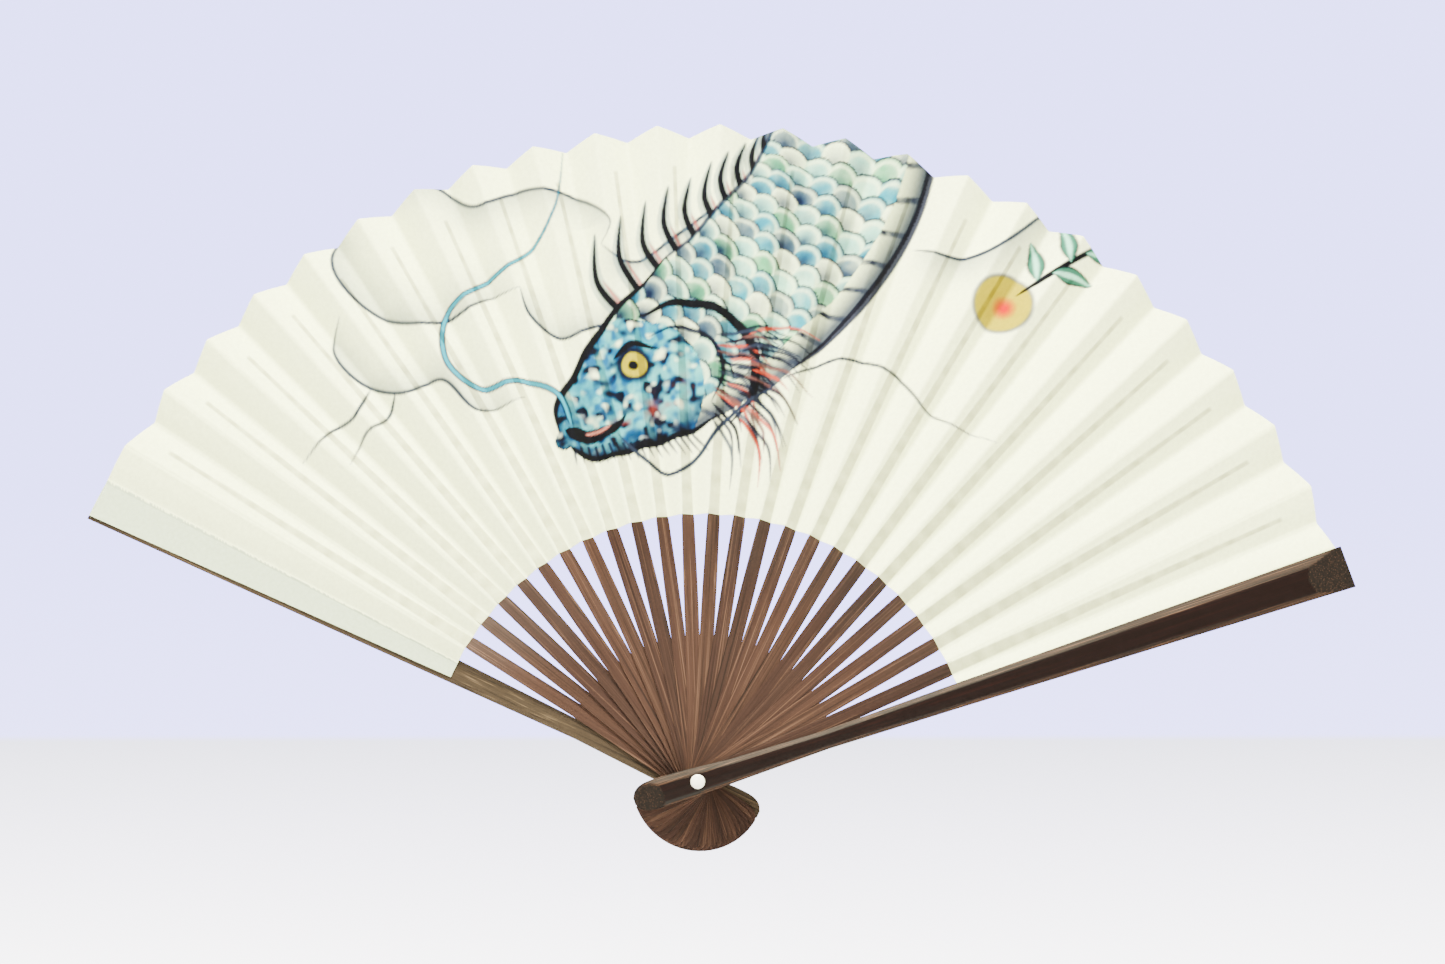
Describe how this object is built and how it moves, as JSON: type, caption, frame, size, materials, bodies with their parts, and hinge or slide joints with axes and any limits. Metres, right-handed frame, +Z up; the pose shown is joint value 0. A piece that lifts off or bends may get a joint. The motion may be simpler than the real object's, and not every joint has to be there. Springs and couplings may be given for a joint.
{
  "type": "hand fan",
  "caption": "Folding hand fan: a pleated paper leaf on thin bamboo ribs between two wider guards, all turning on a rivet; shown open and folds shut.",
  "frame": {"origin": "on the rivet's axis, in the middle of the stack of sticks", "axes": "+Z up the middle of the open leaf, +X to the right seen from the painted face, +Y from the painted face to the back"},
  "size_m": [0.3839, 0.021, 0.2239],
  "materials": {
    "front_guard": "dark lacquered bamboo, glossy",
    "back_guard": "stained bamboo, matt inner face",
    "rivet": "white, round heads",
    "rib_a": "smoked bamboo with fine fibres",
    "rib_b": "smoked bamboo with fine fibres",
    "rib_c": "smoked bamboo with fine fibres",
    "rib_d": "smoked bamboo with fine fibres",
    "rib_e": "smoked bamboo with fine fibres",
    "leaf": "ivory, matt"
  },
  "bodies": {
    "back_guard": {"back_guard": "back_guard", "leaf_pleat_00": "leaf"},
    "rib_01": {"rib_01": "rib_b", "leaf_pleat_01": "leaf"},
    "rib_02": {"rib_02": "rib_c", "leaf_pleat_02": "leaf"},
    "rib_03": {"rib_03": "rib_d", "leaf_pleat_03": "leaf"},
    "rib_04": {"rib_04": "rib_e", "leaf_pleat_04": "leaf"},
    "rib_05": {"rib_05": "rib_a", "leaf_pleat_05": "leaf"},
    "rib_06": {"rib_06": "rib_b", "leaf_pleat_06": "leaf"},
    "rib_07": {"rib_07": "rib_c", "leaf_pleat_07": "leaf"},
    "rib_08": {"rib_08": "rib_d", "leaf_pleat_08": "leaf"},
    "rib_09": {"rib_09": "rib_e", "leaf_pleat_09": "leaf"},
    "rib_10": {"rib_10": "rib_a", "leaf_pleat_10": "leaf"},
    "rib_11": {"rib_11": "rib_b", "leaf_pleat_11": "leaf"},
    "rib_12": {"rib_12": "rib_c", "leaf_pleat_12": "leaf"},
    "rib_13": {"rib_13": "rib_d", "leaf_pleat_13": "leaf"},
    "rib_14": {"rib_14": "rib_e", "leaf_pleat_14": "leaf"},
    "rib_15": {"rib_15": "rib_a", "leaf_pleat_15": "leaf"},
    "rib_16": {"rib_16": "rib_b", "leaf_pleat_16": "leaf"},
    "rib_17": {"rib_17": "rib_c", "leaf_pleat_17": "leaf"},
    "rib_18": {"rib_18": "rib_d", "leaf_pleat_18": "leaf"},
    "rib_19": {"rib_19": "rib_e", "leaf_pleat_19": "leaf"},
    "rib_20": {"rib_20": "rib_a", "leaf_pleat_20": "leaf"},
    "rib_21": {"rib_21": "rib_b", "leaf_pleat_21": "leaf"},
    "rib_22": {"rib_22": "rib_c", "leaf_pleat_22": "leaf"},
    "rib_23": {"rib_23": "rib_d", "leaf_pleat_23": "leaf"},
    "front_guard": {"front_guard": "front_guard", "leaf_pleat_24": "leaf", "rivet": "rivet"}
  },
  "joints": [
    {"name": "back_guard_turn", "type": "hinge", "parent": "front_guard", "child": "back_guard", "pos_m": [0, 0, 0], "axis": [0, 1, 0], "range_deg": [0, 136], "deforming": ["leaf_pleat_00"]},
    {"name": "rib_01_turn", "type": "hinge", "parent": "front_guard", "child": "rib_01", "pos_m": [0, 0, 0], "axis": [0, 1, 0], "range_deg": [0, 129.32], "deforming": ["leaf_pleat_01"]},
    {"name": "rib_02_turn", "type": "hinge", "parent": "front_guard", "child": "rib_02", "pos_m": [0, 0, 0], "axis": [0, 1, 0], "range_deg": [0, 123.63], "deforming": ["leaf_pleat_02"]},
    {"name": "rib_03_turn", "type": "hinge", "parent": "front_guard", "child": "rib_03", "pos_m": [0, 0, 0], "axis": [0, 1, 0], "range_deg": [0, 117.99], "deforming": ["leaf_pleat_03"]},
    {"name": "rib_04_turn", "type": "hinge", "parent": "front_guard", "child": "rib_04", "pos_m": [0, 0, 0], "axis": [0, 1, 0], "range_deg": [0, 112.4], "deforming": ["leaf_pleat_04"]},
    {"name": "rib_05_turn", "type": "hinge", "parent": "front_guard", "child": "rib_05", "pos_m": [0, 0, 0], "axis": [0, 1, 0], "range_deg": [0, 106.85], "deforming": ["leaf_pleat_05"]},
    {"name": "rib_06_turn", "type": "hinge", "parent": "front_guard", "child": "rib_06", "pos_m": [0, 0, 0], "axis": [0, 1, 0], "range_deg": [0, 101.32], "deforming": ["leaf_pleat_06"]},
    {"name": "rib_07_turn", "type": "hinge", "parent": "front_guard", "child": "rib_07", "pos_m": [0, 0, 0], "axis": [0, 1, 0], "range_deg": [0, 95.83], "deforming": ["leaf_pleat_07"]},
    {"name": "rib_08_turn", "type": "hinge", "parent": "front_guard", "child": "rib_08", "pos_m": [0, 0, 0], "axis": [0, 1, 0], "range_deg": [0, 90.35], "deforming": ["leaf_pleat_08"]},
    {"name": "rib_09_turn", "type": "hinge", "parent": "front_guard", "child": "rib_09", "pos_m": [0, 0, 0], "axis": [0, 1, 0], "range_deg": [0, 84.89], "deforming": ["leaf_pleat_09"]},
    {"name": "rib_10_turn", "type": "hinge", "parent": "front_guard", "child": "rib_10", "pos_m": [0, 0, 0], "axis": [0, 1, 0], "range_deg": [0, 79.43], "deforming": ["leaf_pleat_10"]},
    {"name": "rib_11_turn", "type": "hinge", "parent": "front_guard", "child": "rib_11", "pos_m": [0, 0, 0], "axis": [0, 1, 0], "range_deg": [0, 73.97], "deforming": ["leaf_pleat_11"]},
    {"name": "rib_12_turn", "type": "hinge", "parent": "front_guard", "child": "rib_12", "pos_m": [0, 0, 0], "axis": [0, 1, 0], "range_deg": [0, 68.51], "deforming": ["leaf_pleat_12"]},
    {"name": "rib_13_turn", "type": "hinge", "parent": "front_guard", "child": "rib_13", "pos_m": [0, 0, 0], "axis": [0, 1, 0], "range_deg": [0, 63.02], "deforming": ["leaf_pleat_13"]},
    {"name": "rib_14_turn", "type": "hinge", "parent": "front_guard", "child": "rib_14", "pos_m": [0, 0, 0], "axis": [0, 1, 0], "range_deg": [0, 57.52], "deforming": ["leaf_pleat_14"]},
    {"name": "rib_15_turn", "type": "hinge", "parent": "front_guard", "child": "rib_15", "pos_m": [0, 0, 0], "axis": [0, 1, 0], "range_deg": [0, 51.99], "deforming": ["leaf_pleat_15"]},
    {"name": "rib_16_turn", "type": "hinge", "parent": "front_guard", "child": "rib_16", "pos_m": [0, 0, 0], "axis": [0, 1, 0], "range_deg": [0, 46.43], "deforming": ["leaf_pleat_16"]},
    {"name": "rib_17_turn", "type": "hinge", "parent": "front_guard", "child": "rib_17", "pos_m": [0, 0, 0], "axis": [0, 1, 0], "range_deg": [0, 40.83], "deforming": ["leaf_pleat_17"]},
    {"name": "rib_18_turn", "type": "hinge", "parent": "front_guard", "child": "rib_18", "pos_m": [0, 0, 0], "axis": [0, 1, 0], "range_deg": [0, 35.18], "deforming": ["leaf_pleat_18"]},
    {"name": "rib_19_turn", "type": "hinge", "parent": "front_guard", "child": "rib_19", "pos_m": [0, 0, 0], "axis": [0, 1, 0], "range_deg": [0, 29.47], "deforming": ["leaf_pleat_19"]},
    {"name": "rib_20_turn", "type": "hinge", "parent": "front_guard", "child": "rib_20", "pos_m": [0, 0, 0], "axis": [0, 1, 0], "range_deg": [0, 23.71], "deforming": ["leaf_pleat_20"]},
    {"name": "rib_21_turn", "type": "hinge", "parent": "front_guard", "child": "rib_21", "pos_m": [0, 0, 0], "axis": [0, 1, 0], "range_deg": [0, 17.88], "deforming": ["leaf_pleat_21"]},
    {"name": "rib_22_turn", "type": "hinge", "parent": "front_guard", "child": "rib_22", "pos_m": [0, 0, 0], "axis": [0, 1, 0], "range_deg": [0, 11.98], "deforming": ["leaf_pleat_22"]},
    {"name": "rib_23_turn", "type": "hinge", "parent": "front_guard", "child": "rib_23", "pos_m": [0, 0, 0], "axis": [0, 1, 0], "range_deg": [0, 5.99], "deforming": ["leaf_pleat_23", "leaf_pleat_24"]}
  ],
  "couplings": [
    {"joint": "rib_01_turn", "follows": "back_guard_turn", "ratio": 0.95081},
    {"joint": "rib_02_turn", "follows": "back_guard_turn", "ratio": 0.90898},
    {"joint": "rib_03_turn", "follows": "back_guard_turn", "ratio": 0.86754},
    {"joint": "rib_04_turn", "follows": "back_guard_turn", "ratio": 0.82643},
    {"joint": "rib_05_turn", "follows": "back_guard_turn", "ratio": 0.7856},
    {"joint": "rib_06_turn", "follows": "back_guard_turn", "ratio": 0.745},
    {"joint": "rib_07_turn", "follows": "back_guard_turn", "ratio": 0.7046},
    {"joint": "rib_08_turn", "follows": "back_guard_turn", "ratio": 0.66433},
    {"joint": "rib_09_turn", "follows": "back_guard_turn", "ratio": 0.62415},
    {"joint": "rib_10_turn", "follows": "back_guard_turn", "ratio": 0.58402},
    {"joint": "rib_11_turn", "follows": "back_guard_turn", "ratio": 0.54387},
    {"joint": "rib_12_turn", "follows": "back_guard_turn", "ratio": 0.50368},
    {"joint": "rib_13_turn", "follows": "back_guard_turn", "ratio": 0.46338},
    {"joint": "rib_14_turn", "follows": "back_guard_turn", "ratio": 0.42292},
    {"joint": "rib_15_turn", "follows": "back_guard_turn", "ratio": 0.38227},
    {"joint": "rib_16_turn", "follows": "back_guard_turn", "ratio": 0.34137},
    {"joint": "rib_17_turn", "follows": "back_guard_turn", "ratio": 0.30017},
    {"joint": "rib_18_turn", "follows": "back_guard_turn", "ratio": 0.25863},
    {"joint": "rib_19_turn", "follows": "back_guard_turn", "ratio": 0.21669},
    {"joint": "rib_20_turn", "follows": "back_guard_turn", "ratio": 0.17432},
    {"joint": "rib_21_turn", "follows": "back_guard_turn", "ratio": 0.13145},
    {"joint": "rib_22_turn", "follows": "back_guard_turn", "ratio": 0.08804},
    {"joint": "rib_23_turn", "follows": "back_guard_turn", "ratio": 0.04404}
  ]
}
